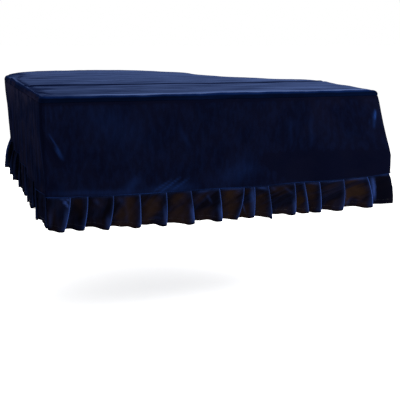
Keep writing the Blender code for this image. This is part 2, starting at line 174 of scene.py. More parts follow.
LINE = edge_line()
DISTANCE = np.concatenate(([0.0], np.cumsum(np.linalg.norm(np.diff(LINE, axis=0), axis=1))))
AROUND = DISTANCE[-1]
ARC = CORNER * math.pi / 2
FRONT_RUN = ARC + 2 * (HALF - CORNER)
SPINE_START = AROUND - ARC / 2 - (SPINE - CORNER)
SIDES = {
    "front": (0.0, FRONT_RUN),
    "bentside": (FRONT_RUN, FRONT_RUN + BENTSIDE),
    "tail": (FRONT_RUN + BENTSIDE, SPINE_START),
    "spine": (SPINE_START, AROUND),
}


def place(s):
    """The points on the edge line at the distances s, and the ways out of the cover."""
    s = np.asarray(s, float)
    reach = 0.006
    here, before, after = [
        np.stack([np.interp(s + step, DISTANCE, LINE[:, k], period=AROUND) for k in (0, 1)], axis=-1)
        for step in (0.0, -reach, reach)
    ]
    along = (after - before) / np.linalg.norm(after - before, axis=-1)[..., None]
    return here, np.stack([along[..., 1], -along[..., 0]], axis=-1)


def soft(t):
    """Zero up to 0, one from 1, and smooth between."""
    t = np.clip(t, 0.0, 1.0)
    return t * t * (3 - 2 * t)


def hump(t):
    """A soft hump, one at 0 and gone past 2."""
    return np.exp(-1.2 * np.square(t))


def from_place(s, centre):
    """The signed distance along the edge from a place on it."""
    return np.mod(s - centre + AROUND / 2, AROUND) - AROUND / 2


def along_creases(points, creases):
    """What creases add at each point: their height and their painted light and shade.
    A crease has two ends, a half width, a height and how much painted light it adds,
    painted shade where that is below 0."""
    rise = np.zeros(len(points))
    light = np.zeros(len(points))
    for ax, ay, bx, by, half_width, height, lighter in creases:
        a = np.array((ax, ay))
        side = np.array((bx, by)) - a
        t = np.clip((points - a) @ side / (side @ side), 0.0, 1.0)
        off = np.linalg.norm(points - a - t[:, None] * side, axis=1)
        ends = np.sqrt(np.sin(math.pi * np.clip(t, 0.03, 0.97)))    # it fades towards its ends
        rise += height * ends * hump(off / half_width)
        light += lighter * ends * hump(off / half_width)
    return rise, light


def lie_of_top(plan):
    """How high the velvet of the top lies over its flat place, and the painted light and
    shade on it there."""
    x = plan[:, 0]
    back = plan[:, 1] - FRONT_Y
    rise = 0.0009 * np.sin(5.1 * x + 21.0 * back) + 0.0007 * np.sin(9.0 * x - 13.0 * back + 1.3)
    rise += 0.0005 * np.sin(31.0 * back + 3.0 * np.sin(4.0 * x))
    rise += CROWN + 0.0004 * np.sin(23.0 * x + 17.0 * back)
    crease, light = along_creases(np.stack((x, back), axis=1), TOP_CREASES)
    seam = plan[:, 1] - SEAM_Y          # behind the seam above 0, in front of it below 0
    rise += crease - 0.0050 * hump(seam / 0.0045) - 0.0025 * hump(seam / 0.012)
    rise += 0.0020 * hump((seam - 0.020) / 0.010)
    # Painted light and shade over the top: lighter overall and towards the right, a painted shadow in the
    # trough of the seam, strongest at the left, a painted highlight just in front of it and a little
    # painted shade over the front strip
    seam_shadow = 1.3 - 0.9 * soft(x + 0.2)
    light += 0.20 - seam_shadow * hump(seam / 0.018) + 0.08 * hump((seam + 0.036) / 0.014)
    light += 0.09 * x / HALF - 0.07 * soft(-seam / 0.05)
    light += 0.52 * soft((x + 0.73) / 0.3) * hump((back - 0.032) / 0.022)       # painted highlight along the front edge
    light -= 0.30 * soft((-x - 0.58) / 0.12) * soft((back - 0.95) / 0.35)       # painted shade towards the tail
    light -= 0.20 * soft((-x - 0.680) / 0.050) * soft((0.52 - back) / 0.16)     # painted shade along the spine
    return rise, light


def sheet_of_velvet(name, points, faces, cloth, light, reflection_and_shade, offset):
    """One sheet of velvet with thickness.  Its UV map lays the cloth out flat, in
    metres, and two attributes carry painted light and shade and a painted cast of
    reflected light and shade."""
    mesh = bpy.data.meshes.new(name)
    mesh.from_pydata(np.asarray(points).tolist(), [], faces)
    corners = np.empty(len(mesh.loops), dtype=np.int32)
    mesh.loops.foreach_get("vertex_index", corners)
    layer = mesh.uv_layers.new(name="cloth")
    layer.data.foreach_set("uv", np.asarray(cloth)[corners].astype(np.float32).ravel())
    for label, values in (("light", light), ("reflection_and_shade", reflection_and_shade)):
        attribute = mesh.attributes.new(label, "FLOAT", "POINT")
        attribute.data.foreach_set("value", np.asarray(values, dtype=np.float32))
    mesh.shade_smooth()
    piece = bpy.data.objects.new(name, mesh)
    bpy.context.scene.collection.objects.link(piece)
    thickness = piece.modifiers.new("thickness", "SOLIDIFY")
    thickness.thickness = CLOTH
    thickness.offset = offset
    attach(piece, "root")
    return piece


def grid_faces(columns, rows):
    """The four-sided faces of a grid whose points run down each column."""
    faces = []
    for c in range(columns - 1):
        for r in range(rows - 1):
            i = c * rows + r
            faces.append((i, i + 1, i + rows + 1, i + rows))
    return faces


def inside_loop(points, loop, margin):
    """Which points lie inside a closed loop and further than margin from it."""
    nxt = np.roll(loop, -1, axis=0)
    side = nxt - loop
    length = np.sum(side * side, axis=1)
    keep = np.zeros(len(points), dtype=bool)
    for i, p in enumerate(points):
        crosses = (loop[:, 1] > p[1]) != (nxt[:, 1] > p[1])
        x = loop[crosses, 0] + (p[1] - loop[crosses, 1]) * side[crosses, 0] / side[crosses, 1]
        if np.count_nonzero(x > p[0]) % 2:
            t = np.clip(np.sum((p - loop) * side, axis=1) / length, 0.0, 1.0)
            keep[i] = np.min(np.sum((loop + side * t[:, None] - p) ** 2, axis=1)) > margin ** 2
    return points[keep]


class Shade:
    """A socket of a node tree; sums on it add Math nodes."""

    def __init__(self, tree, socket=None):
        self.tree = tree
        self.socket = socket

    def node(self, kind, settings=None, sockets=None, out=0):
        """One output of a new node, whose settings and then sockets are set first."""
        made = self.tree.nodes.new(kind)
        for key, value in (settings or {}).items():
            setattr(made, key, value)
        for key, value in (sockets or {}).items():
            if isinstance(value, Shade):
                self.tree.links.new(value.socket, made.inputs[key])
            else:
                made.inputs[key].default_value = value
        return Shade(self.tree, made.outputs[out])

    def math(self, operation, a, b, clamp=False):
        """A Math node on two values or sockets."""
        return self.node("ShaderNodeMath", {"operation": operation, "use_clamp": clamp}, {0: a, 1: b})

    def __add__(self, other):
        return self.math("ADD", self, other)

    def __mul__(self, other):
        return self.math("MULTIPLY", self, other)

    def __sub__(self, other):
        return self.math("SUBTRACT", self, other)

    __radd__ = __add__

    def spread(self, low, high):
        """Zero below low, one above high."""
        settings = {"interpolation_type": "SMOOTHSTEP"}
        return self.node("ShaderNodeMapRange", settings, {"Value": self, "From Min": low, "From Max": high})

    def mix(self, colour, other):
        """colour where this is 0 and other where it is 1."""
        return self.node("ShaderNodeMix", {"data_type": "RGBA"}, {0: self, 6: colour, 7: other}, out=2)


def velvet(name, brushed_along, streaks, ground, sheen_and_brushed_colour, reflection_and_shade_colour, sheen, sheen_weight):
    """Dark blue velvet.  Its pile has the ground colour, streaked at random towards the brushed
    colour where it lies over; the light attribute paints highlights, sheen and shade between
    the same two colours, and a second attribute blends in a painted cast, reflected light on
    some sheets and shade on others; its sheen shows at a low angle."""
    material = bpy.data.materials.new(name)
    material.use_nodes = True
    tree = material.node_tree
    shader = tree.nodes["Principled BSDF"]
    start = Shade(tree)
    cloth = start.node("ShaderNodeUVMap", {"uv_map": "cloth"})
    drawn = start.node("ShaderNodeMapping", {}, {"Vector": cloth, "Scale": brushed_along})
    streak = start.node(
        "ShaderNodeTexNoise", {}, {"Vector": drawn, "Scale": 20.0, "Detail": 4.0, "Roughness": 0.6}
    )
    cloud = start.node("ShaderNodeTexNoise", {}, {"Vector": cloth, "Scale": 7.0, "Detail": 3.0})
    pile = start.node(
        "ShaderNodeTexNoise", {}, {"Vector": cloth, "Scale": 700.0, "Detail": 2.0, "Roughness": 0.7}
    )
    lighter = start.node("ShaderNodeAttribute", {"attribute_name": "light"}, out=2)
    reflection_and_shade_attribute = start.node("ShaderNodeAttribute", {"attribute_name": "reflection_and_shade"}, out=2)
    # Random pile streaks and clouds, plus the painted light and shade of the light attribute
    mark = streak.spread(0.36, 0.68) * streaks + lighter + (cloud - 0.5) * (streaks * 0.8)
    painted_sheen_and_pile = start.math("MAXIMUM", mark * (0.82 + pile * 0.36), 0.0, clamp=True)
    blue = painted_sheen_and_pile.mix(ground, sheen_and_brushed_colour)
    # How far the painted cast of reflected light and shade shows
    reflection_and_shade = start.math("MINIMUM", reflection_and_shade_attribute * (0.15 + cloud.spread(0.40, 0.60)), 1.0)
    colour = reflection_and_shade.mix(blue, reflection_and_shade_colour)
    drape = start.node("ShaderNodeBump", {}, {"Strength": 0.3, "Distance": 0.003, "Height": streak})
    fuzz = start.node(
        "ShaderNodeBump", {}, {"Strength": 0.3, "Distance": 0.0006, "Height": pile, "Normal": drape}
    )
    tree.links.new(colour.socket, shader.inputs["Base Color"])
    tree.links.new((0.74 + cloud * 0.3).socket, shader.inputs["Roughness"])
    tree.links.new(fuzz.socket, shader.inputs["Normal"])
    shader.inputs["Specular IOR Level"].default_value = 0.0
    shader.inputs["Sheen Weight"].default_value = sheen_weight
    shader.inputs["Sheen Roughness"].default_value = 0.30
    shader.inputs["Sheen Tint"].default_value = sheen
    return material


# A lighter copy of the velvet for the top, painted light where light falls from above and behind; its cast
# colour is a painted shade
lit_top_velvet = velvet(
    "lit_top_velvet", (0.14, 1.1, 1.0), 0.26, (0.0012, 0.0040, 0.0240, 1), (0.105, 0.165, 0.385, 1),
    (0.0014, 0.0017, 0.0075, 1), (0.17, 0.27, 0.68, 1), 0.10,
)

# A darker copy with less sheen for the turned edge, painted shade where it turns away from the light; its
# cast colour is a greyer painted sheen
shaded_edge_velvet = velvet(
    "shaded_edge_velvet", (0.14, 1.1, 1.0), 0.06, (0.0008, 0.0022, 0.0088, 1), (0.006, 0.024, 0.130, 1),
    (0.0085, 0.0080, 0.0200, 1), (0.10, 0.17, 0.55, 1), 0.02,
)


def corner_push(s, down):
    """How far the corner of front and cheek is pushed aside at the top of the drop."""
    left = 1.0 - soft(down / CORNER_PUSH_DEPTH)
    aside = CORNER_PUSH * left * hump(from_place(s, FRONT_RUN) / CORNER_PUSH_WIDTH)
    return np.stack((aside, np.zeros_like(aside)), axis=-1)


def rolled_edge(around):
    """The rounded edge of the top with the lip below it, in rows from the flat top down:
    points, cloth laid flat, painted light and shade, and how strongly the painted cast shows."""
    here, out = place(around)
    uneven = 0.0012 * np.sin(around * 27.0) + 0.0009 * np.sin(around * 51.0 + 1.7)
    uneven += 0.0006 * np.sin(around * 97.0 + 4.0 * np.sin(around * 11.0))
    on_spine = soft((-around - 0.005) / 0.09) + soft((around - (AROUND - SPINE)) / 0.06)
    points = []
    cloth = []
    light = []
    reflection_and_shade = []
    for turn in EDGE_TURNS:
        plan = here - out * (ROLL * (1.0 - math.sin(turn)))
        rise, lighter = lie_of_top(plan)
        push = rise * math.cos(turn) ** 2 + uneven * math.sin(2 * turn)
        plan = plan + out * (push * math.sin(turn))[:, None] + corner_push(around, 0.0) * math.sin(turn)
        z = TOP_Z - ROLL + ROLL * math.cos(turn) + push * math.cos(turn)
        points.append(np.column_stack((plan, z)))
        cloth.append(here + out * (ROLL * (turn - 1.0)))
        degrees = math.degrees(turn)
        # Painted light over the edge: the top's own, a painted highlight where it starts to turn and
        # painted shade further round, giving way to a band of painted light on the turned part, weaker
        # along the spine
        painted_sheen_and_pile = 0.10 * hump((degrees - 3.0) / 7.0)
        shade = -0.40 * soft((degrees - 8.0) / 12.0)
        into_painted_band = soft((degrees - 11.0) / 7.0)
        painted_band_light = (0.38 - 0.16 * on_spine) * (1.0 - soft((degrees - 32.0) / 26.0))
        light.append((lighter * math.cos(turn) + painted_sheen_and_pile + shade) * (1.0 - into_painted_band) + painted_band_light * into_painted_band)
        # Along the spine the turned part takes the painted cast, a greyer sheen
        reflection_and_shade.append(EDGE_PAINTED_CAST * on_spine * soft((degrees - 20.0) / 30.0))
    side = here + corner_push(around, 0.0)
    # The lip has no painted light, but along the spine it takes the same painted cast
    for drop, inward in ((LIP * LIP_BEND, 0.0), (LIP, LIP_IN)):
        points.append(np.column_stack((side - out * inward, np.full(len(here), TOP_Z - ROLL - drop))))
        cloth.append(here + out * (ROLL * (math.pi / 2 - 1.0) + drop))
        light.append(np.zeros(len(here)))
        reflection_and_shade.append(EDGE_PAINTED_CAST * on_spine)
    return points, cloth, light, reflection_and_shade


def flat_grid(loop):
    """Points of the flat top inside its outline, closer beside the seam."""
    across = np.arange(loop[:, 0].min(), loop[:, 0].max(), TOP_STEP)
    back = np.arange(loop[:, 1].min(), loop[:, 1].max(), TOP_STEP)
    beside_seam = SEAM_Y + np.concatenate((-np.flip(BESIDE_SEAM), BESIDE_SEAM))
    back = np.concatenate((back[np.abs(back - SEAM_Y) > CLEAR_OF_SEAM], beside_seam))
    grid = np.stack(np.meshgrid(across, back, indexing="ij"), axis=-1).reshape(-1, 2)
    near = np.abs(grid[:, 1] - SEAM_Y) < BESIDE_SEAM[-1] + 0.0005
    return np.vstack((inside_loop(grid[near], loop, 0.0015), inside_loop(grid[~near], loop, TOP_STEP / 2)))


def top_panel(name, start, end):
    """A panel of the top, whose edge between two places is rounded over and turned
    down.  Its straight side joins those two places."""
    around = np.linspace(start, end, math.ceil((end - start) / EDGE_STEP) + 1)
    points, cloth, light, reflection_and_shade = rolled_edge(around)
    rows = len(points)
    faces = grid_faces(len(around), rows)
    # Faces from that row down take the darker copy of the velvet, painted shade on the turned edge
    turned = [row >= FIRST_TURNED for row in range(rows - 1)] * (len(around) - 1)
    points = list(np.stack(points, axis=1).reshape(-1, 3))
    cloth = list(np.stack(cloth, axis=1).reshape(-1, 2))
    light = list(np.stack(light, axis=1).ravel())
    reflection_and_shade = list(np.stack(reflection_and_shade, axis=1).ravel())
    rim = np.array([points[i][:2] for i in range(0, len(points), rows)])
    count = math.ceil(np.linalg.norm(rim[0] - rim[-1]) / TOP_STEP)
    straight = rim[-1] + (rim[0] - rim[-1]) * (np.arange(1, count) / count)[:, None]
    loop = np.vstack((rim, straight))
    grid = flat_grid(loop)
    inner = np.vstack((straight, grid))
    rise, lighter = lie_of_top(inner)
    index = list(range(0, len(points), rows)) + list(range(len(points), len(points) + len(inner)))
    points += list(np.column_stack((inner, TOP_Z + rise)))
    cloth += list(inner)
    light += list(lighter)
    reflection_and_shade += [0.0] * len(inner)
    flat = [Vector(p) for p in loop] + [Vector(p) for p in grid]
    filled = delaunay_2d_cdt(flat, [], [list(range(len(loop)))], 1, 1e-7)
    for face in filled[2]:
        faces.append(tuple(index[filled[3][i][0]] for i in face))
    if name == "top_front":
        sewn = index[len(rim) - 1:len(loop)] + [index[0]]
        above = sewn
        for inward, low in TUCKS:
            below = list(range(len(points), len(points) + len(sewn)))
            points += [points[i] + np.array((0.0, inward, -low)) for i in sewn]
            cloth += [cloth[i] + np.array((0.0, low + inward)) for i in sewn]
            # The tucked rows are painted as dark as the velvet goes, as shade under the main panel
            light += [-1.0] * len(sewn)
            reflection_and_shade += [0.0] * len(sewn)
            faces += [(above[i + 1], above[i], below[i], below[i + 1]) for i in range(len(sewn) - 1)]
            above = below
    piece = sheet_of_velvet(name, points, faces, cloth, light, reflection_and_shade, -1.0)
    piece.data.materials.append(lit_top_velvet)
    piece.data.materials.append(shaded_edge_velvet)
    turned += [False] * (len(faces) - len(turned))
    piece.data.polygons.foreach_set("material_index", np.array(turned, dtype=np.int32))
    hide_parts(name)
    nxt = np.roll(loop, -1, axis=0)
    plan_area = abs(np.sum(loop[:, 0] * nxt[:, 1] - nxt[:, 0] * loop[:, 1])) / 2
    return piece, plan_area + (end - start) * (ROLL * math.pi / 2 + LIP)


seam_on_spine = -(SEAM_Y - FRONT_Y - CORNER + ARC / 2)
seam_on_cheek = FRONT_RUN + ARC / 2 + SEAM_Y - FRONT_Y - CORNER
TURNED = ROLL * (math.pi / 2 - 1) + LIP
top_front, strip_area = top_panel("top_front", seam_on_spine, seam_on_cheek - GAP / 2)
top_main, main_area = top_panel("top_main", seam_on_cheek + GAP / 2, seam_on_spine + AROUND - GAP / 2)
strip_flat = (2 * (HALF + TURNED), SEAM_Y - FRONT_Y + TURNED)
min(strip_area, strip_flat[0] * strip_flat[1])

# The drop
# Four upright panels of the same velvet hang from the turned-down edge: the front, the
# curved bentside, the tail and the straight spine.  They hang in soft upright folds, swing
# out at the cheek and are pulled in a little round the tail.
HEAD_Z = TOP_Z - ROLL - LIP - GAP
FOOT_Z = -0.392
DROP = HEAD_Z - FOOT_Z
SEAM_IN = 0.0033                # how far a sewn edge lies behind the cloth above it
SEAM_TAKE = 0.0045              # how far it reaches up there
DROP_STEP = 0.005               # from one column of the drop to the next
DROP_LEVELS = np.concatenate((
    (-SEAM_TAKE / DROP, 0.0, 0.001, 0.008), np.linspace(0.022, 0.955, 50),
    (0.968, 0.978, 0.985, 0.990, 0.995, 1.0),
))
GATHER = 0.0011                 # height of the narrow ripples beside the corners
TAIL_RISE = 0.078               # how much higher the drop's foot hangs round the tail
TAIL_LEAN = 0.014               # how far it hangs in under the top there
FLARE = 0.106                   # how far the corner of front and cheek swings aside
FLARE_FRONT = 0.240             # half width of that swing along the front
FLARE_CHEEK = 0.260             # half width of that swing along the cheek
FLARE_FULL = 0.77               # part of the drop over which it grows
FLARE_HEM = 1.19                # the swing at the hem for one at the seam
SEAM_SAG = (
    # side, place along it, how much lower the frill's seam hangs there
    ("front", 0.00, 0.007),
    ("front", 0.10, 0.010),
    ("front", 0.30, 0.012),
    ("front", 0.90, 0.011),
    ("front", 1.05, 0.007),
    ("front", 1.20, 0.006),
    ("front", 1.30, 0.003),
    ("front", 1.40, -0.002),
    ("front", 1.49, -0.012),
    ("bentside", 0.30, 0.000),
    ("spine", 0.90, 0.000),
)
FOLDS = (
    # side, place along it, half width, stands out, starts at this part of the drop
    ("front", 0.075, 0.040, 0.009, 0.20),
    ("front", 0.170, 0.060, -0.007, 0.25),
    ("front", 0.420, 0.110, 0.006, 0.40),
    ("front", 0.660, 0.070, -0.005, 0.45),
    ("front", 0.930, 0.120, 0.007, 0.35),
    ("front", 1.130, 0.060, -0.006, 0.20),
    ("front", 1.240, 0.050, 0.007, 0.15),
    ("front", 1.340, 0.060, -0.010, 0.25),
    ("bentside", 0.250, 0.060, 0.012, 0.10),
    ("bentside", 0.390, 0.050, -0.010, 0.20),
    ("bentside", 0.560, 0.070, 0.018, 0.05),
    ("bentside", 0.740, 0.060, -0.012, 0.15),
    ("bentside", 0.900, 0.065, 0.014, 0.15),
    ("bentside", 1.080, 0.060, -0.012, 0.20),
    ("bentside", 1.250, 0.070, 0.014, 0.10),
    ("tail", 0.080, 0.050, -0.010, 0.15),
    ("tail", 0.210, 0.060, 0.013, 0.10),
    ("tail", 0.350, 0.055, -0.012, 0.20),
    ("tail", 0.490, 0.060, 0.012, 0.10),
    ("tail", 0.640, 0.060, -0.014, 0.10),
    ("tail", 0.780, 0.055, 0.012, 0.15),
    ("tail", 0.900, 0.060, -0.012, 0.05),
    ("spine", 0.000, 0.130, -0.009, 0.00),
    ("spine", 0.060, 0.050, 0.008, 0.10),
    ("spine", 0.170, 0.045, -0.010, 0.10),
    ("spine", 0.280, 0.050, 0.011, 0.05),
    ("spine", 0.390, 0.045, -0.009, 0.15),
    ("spine", 0.510, 0.055, 0.012, 0.10),
    ("spine", 0.630, 0.045, -0.010, 0.05),
    ("spine", 0.740, 0.050, 0.010, 0.15),
    ("spine", 0.860, 0.050, -0.009, 0.10),
    ("spine", 0.970, 0.045, 0.010, 0.10),
    ("spine", 1.070, 0.040, -0.008, 0.20),
    ("spine", 1.100, 0.160, -0.012, 0.00),
)

# Creases of the drop, with their painted light and shade, and patches of painted light
DROP_CREASES = {
    "front": (
        # from along, below the head; to along, below; half width; height; painted light (painted shade
        # below 0)
        (0.026, 0.118, 0.068, 0.190, 0.0030, 0.0040, 0.16),
        (0.050, 0.172, 0.078, 0.218, 0.0080, 0.0000, 0.15),
        (0.012, 0.150, 0.060, 0.235, 0.0120, -0.0040, -0.10),
        (1.456, 0.066, 1.445, 0.110, 0.0040, 0.0030, 0.50),
        (1.452, 0.072, 1.440, 0.118, 0.0090, 0.0000, 0.12),
        (1.443, 0.112, 1.433, 0.150, 0.0060, 0.0020, 0.12),
        (1.425, 0.105, 1.415, 0.130, 0.0040, 0.0015, 0.06),
        (1.066, 0.090, 1.075, 0.200, 0.0100, 0.0020, 0.03),
        (1.160, 0.080, 1.168, 0.210, 0.0110, 0.0020, 0.03),
        (0.450, 0.364, 0.530, 0.320, 0.0040, 0.0016, 0.12),
        (0.480, 0.368, 0.570, 0.312, 0.0040, 0.0018, 0.14),
        (0.530, 0.366, 0.610, 0.318, 0.0040, 0.0016, 0.10),
        (0.420, 0.358, 0.640, 0.354, 0.0220, 0.0000, 0.07),
        (0.330, 0.360, 0.390, 0.300, 0.0220, 0.0010, 0.08),
        (0.020, 0.352, 0.420, 0.362, 0.0120, 0.0000, 0.06),
        (0.740, 0.340, 0.960, 0.250, 0.0450, 0.0000, 0.05),
        (0.160, 0.030, 0.420, 0.160, 0.0700, 0.0000, 0.03),
        (0.905, 0.262, 1.510, 0.292, 0.0300, -0.0050, -0.10),
        (1.050, 0.322, 1.480, 0.345, 0.0300, 0.0020, -0.05),
        (0.560, 0.110, 0.610, 0.190, 0.0120, 0.0015, 0.04),
        (0.016, 0.004, 0.014, 0.110, 0.0025, 0.0022, 0.035),
        (0.032, 0.004, 0.036, 0.080, 0.0025, 0.0022, 0.035),
        (0.050, 0.004, 0.055, 0.060, 0.0030, 0.0020, 0.025),
        (0.076, 0.004, 0.074, 0.045, 0.0050, 0.0018, 0.03),
    ),
    "bentside": (
        (0.030, 0.060, 0.060, 0.330, 0.0120, 0.0040, 0.10),
        (0.120, 0.020, 0.200, 0.300, 0.0140, 0.0040, 0.10),
        (0.330, 0.080, 0.300, 0.350, 0.0120, 0.0035, 0.08),
        (0.560, 0.010, 0.590, 0.340, 0.0140, 0.0050, 0.14),
        (0.660, 0.030, 0.640, 0.280, 0.0100, 0.0035, 0.08),
        (0.880, 0.060, 0.930, 0.350, 0.0120, 0.0040, 0.12),
        (1.020, 0.020, 0.980, 0.250, 0.0110, 0.0035, 0.08),
        (1.240, 0.040, 1.260, 0.330, 0.0120, 0.0040, 0.10),
    ),
    "tail": (
        (0.200, 0.020, 0.230, 0.310, 0.0120, 0.0040, 0.12),
        (0.380, 0.050, 0.330, 0.290, 0.0110, 0.0035, 0.08),
        (0.500, 0.010, 0.480, 0.320, 0.0130, 0.0045, 0.12),
        (0.690, 0.060, 0.730, 0.300, 0.0110, 0.0035, 0.08),
        (0.840, 0.020, 0.860, 0.300, 0.0120, 0.0040, 0.10),
    ),
    "spine": (
        (0.110, 0.030, 0.090, 0.320, 0.0120, 0.0040, 0.06),
        (0.300, 0.020, 0.280, 0.330, 0.0120, 0.0040, 0.05),
        (0.470, 0.060, 0.500, 0.350, 0.0100, 0.0035, 0.05),
        (0.590, 0.010, 0.560, 0.300, 0.0090, 0.0030, 0.05),
        (0.720, 0.030, 0.760, 0.350, 0.0110, 0.0040, 0.06),
        (0.830, 0.010, 0.815, 0.340, 0.0080, 0.0030, 0.05),
        (0.905, 0.010, 0.930, 0.350, 0.0080, 0.0035, 0.06),
        (0.975, 0.006, 0.985, 0.350, 0.0070, 0.0035, 0.06),
        (1.030, 0.006, 1.020, 0.350, 0.0070, 0.0030, 0.06),
        (1.075, 0.006, 1.085, 0.330, 0.0060, 0.0030, 0.06),
    ),
}


def round_tail(s):
    """One round the tail and zero at the front."""
    s = np.mod(s, AROUND)
    return soft((s - FRONT_RUN) / (BENTSIDE + 0.3)) * soft((AROUND - s) / (AROUND - SPINE_START + 0.1))


def sag(s, table):
    """How much lower an edge of the cloth hangs at s, from a table like SEAM_SAG."""
    places = [SIDES[side][0] + along for side, along, _ in table]
    return np.interp(s, places, [row[2] for row in table], period=AROUND)


def swing(s, down):
    """How far the cloth swings sideways off the corner of front and cheek."""
    half_width = np.where(np.mod(s, AROUND) < FRONT_RUN, FLARE_FRONT, FLARE_CHEEK)
    below_seam = 1.0 - np.minimum(2.0 - down, 1.0) ** 2
    grown = np.minimum(down / FLARE_FULL, 1.0) + (FLARE_HEM - 1.0) * below_seam
    aside = FLARE * grown * hump(from_place(s, FRONT_RUN) / half_width)
    return np.stack((aside, np.zeros_like(aside)), axis=-1)


def gathers(s):
    """Narrow upright ripples, where the cloth is eased in at the corner of front and
    spine, along the spine and round the tail."""
    eased = 0.25 + 0.75 * hump(from_place(s, AROUND) / 0.22) + 0.45 * round_tail(s)
    eased = eased * soft(np.abs(from_place(s, FRONT_RUN / 2)) / 0.9 - 0.45)
    ripple = np.sin(s * 133.0 + 2.2 * np.sin(s * 19.0)) + 0.6 * np.sin(s * 211.0 + 3.0 * np.sin(s * 13.0))
    return GATHER * eased * ripple


def stand_out(s, down):
    """How far the drop stands out from the edge line, with down from 0 at its top
    to 1 at the frill's seam."""
    out = -TAIL_LEAN * down * round_tail(s)
    for side, along, half_width, fold, start in FOLDS:
        growth = soft((down - start) / (1.15 - start))
        out = out + fold * growth * hump(from_place(s, SIDES[side][0] + along) / half_width)
    out = out + gathers(s) * soft(down / 0.10) * (1.0 + 0.6 * down)
    return out + 0.0010 * np.sin(s * 27.0 + 9.0 * down) * soft(down / 0.2)


def crease_of_drop(s, depth):
    """What the creases add to the drop at a place and a depth below its head."""
    rise = np.zeros(len(s))
    light = np.zeros(len(s))
    for side, creases in DROP_CREASES.items():
        along = from_place(s, SIDES[side][0])
        here = (along > -0.3) & (along < SIDES[side][1] - SIDES[side][0] + 0.3)
        points = np.stack((along[here], depth[here]), axis=1)
        added = along_creases(points, creases)
        rise[here] += added[0]
        light[here] += added[1]
    return rise, light


# A darker copy of the velvet with little sheen for the drop, painted shade on the upright sides; its cast
# colour is a grey painted reflection
shaded_drop_velvet = velvet(
    "shaded_drop_velvet", (2.2, 0.9, 1.0), 0.022, (0.0017, 0.0023, 0.0088, 1), (0.016, 0.060, 0.270, 1),
    (0.0102, 0.0092, 0.0195, 1), (0.08, 0.15, 0.50, 1), 0.03,
)


def drop_panel(side):
    """One upright panel of the drop."""
    start, end = SIDES[side]
    start += GAP / 2
    end -= GAP / 2
    around = np.linspace(start, end, math.ceil((end - start) / DROP_STEP) + 1)
    s = np.repeat(around, len(DROP_LEVELS))
    down = np.tile(DROP_LEVELS, len(around))
    here, out = place(s)
    foot = FOOT_Z + TAIL_RISE * round_tail(s) - sag(s, SEAM_SAG)
    z = HEAD_Z + (foot - HEAD_Z) * down
    rise, light = crease_of_drop(s, down * DROP)
    ends = soft(down / 0.03)
    below = (1.0 - down) * DROP
    ridge = 0.0024 * hump((below - 0.0030) / 0.0028) - 0.0012 * hump(below / 0.0012)
    tuck = np.where(down <= 0.0, -SEAM_IN, -0.0010 * hump(down / 0.008))
    reach = stand_out(s, down) + rise * ends + ridge + tuck
    plan = here + out * reach[:, None] + swing(s, down) + corner_push(s, down)
    # A painted highlight along the foot seam, and painted shade just under the head
    seam_light = 0.24 * hump((below - 0.0018) / 0.0020) * (0.60 + 0.40 * np.sin(s * 17.0 + 1.0))
    light += seam_light - 0.04 * soft(1 - down / 0.05)
    faces = grid_faces(len(around), len(DROP_LEVELS))
    cloth = np.stack((s, z), axis=1)
    # A faint painted cast of reflected light, stronger high up from the right part of the front onwards
    reflection_and_shade = 0.05 + 0.10 * soft((s - 0.9) / 0.4) * soft(1.0 - down / 0.6)
    if side == "spine":
        # Along the spine: painted light on the gathers that stand out, a little painted shade overall, and
        # a painted cast of reflected light that is strongest under the edge, changes with the gathers and
        # dies out at the front corner
        eased = gathers(s) / GATHER
        light += 0.022 * eased - 0.008
        reflection_and_shade = 0.26 + 1.3 * np.exp(-down / 0.14) - (0.20 + 0.4 * np.exp(-down / 0.2)) * eased
        reflection_and_shade = np.maximum(reflection_and_shade, 0.0) * soft((end - 0.012 - s) / 0.06)
    name = "drop_" + side
    piece = sheet_of_velvet(
        name, np.column_stack((plan, z)), faces, cloth, light, reflection_and_shade, -1.0
    )
    piece.data.materials.append(shaded_drop_velvet)
    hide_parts(name)
    end - start


for side_name in SIDES:
    drop_panel(side_name)

# The frill
# A band of velvet laid in knife pleats, all folded to the right seen from outside, is sewn
# to the foot of each panel of the drop.  The pleats are pressed flat at the seam and fall
# open towards the hem, which is turned up inside.
HEM_Z = -0.526
FRILL = FOOT_Z - GAP - HEM_Z
FRONT_PLEATS = (
    # folded edge at the seam; lean, stands out, doubles back and dips at the hem; painted warm reflection
    # on the flat part before it
    (0.099, -0.029, 0.026, -0.006, 0.001, 0.20),
    (0.170, -0.019, 0.030, -0.004, 0.001, 0.30),
    (0.275, -0.027, 0.034, 0.002, 0.002, 0.30),
    (0.385, -0.003, 0.024, 0.004, 0.001, 0.75),
    (0.501, -0.007, 0.028, 0.004, 0.001, 0.80),
    (0.611, 0.010, 0.034, -0.002, 0.000, 0.65),
    (0.740, 0.004, 0.032, 0.002, 0.002, 0.50),
    (0.851, -0.034, 0.024, 0.002, 0.001, 0.85),
    (0.899, -0.006, 0.026, -0.002, -0.003, 0.55),
    (0.965, 0.007, 0.038, 0.004, 0.009, 0.65),
    (1.092, -0.003, 0.028, 0.002, 0.001, 0.40),
    (1.136, 0.015, 0.022, 0.002, 0.001, 1.20),
    (1.197, -0.001, 0.024, 0.004, 0.001, 0.70),
    (1.291, -0.013, 0.030, 0.000, 0.001, 0.30),
    (1.379, 0.005, 0.034, -0.004, 0.001, 1.30),
)
PLEATED_SIDES = (
    # side, pleats, stand out at its start, middle and end
    ("bentside", 11, 0.034, 0.032, 0.030),
    ("tail", 8, 0.030, 0.034, 0.040),
    ("spine", 9, 0.042, 0.006, 0.004),
)
PLEAT_SHARE = 0.62              # part of its stretch at which such a pleat folds
PLEAT_UNEVEN = 0.013            # how far such a pleat lies from its even place
PLEAT_LEAN = 0.012              # how far its fold leans at the hem, at most
PLEAT_OUT_UNEVEN = 0.15         # part by which its stand-out differs
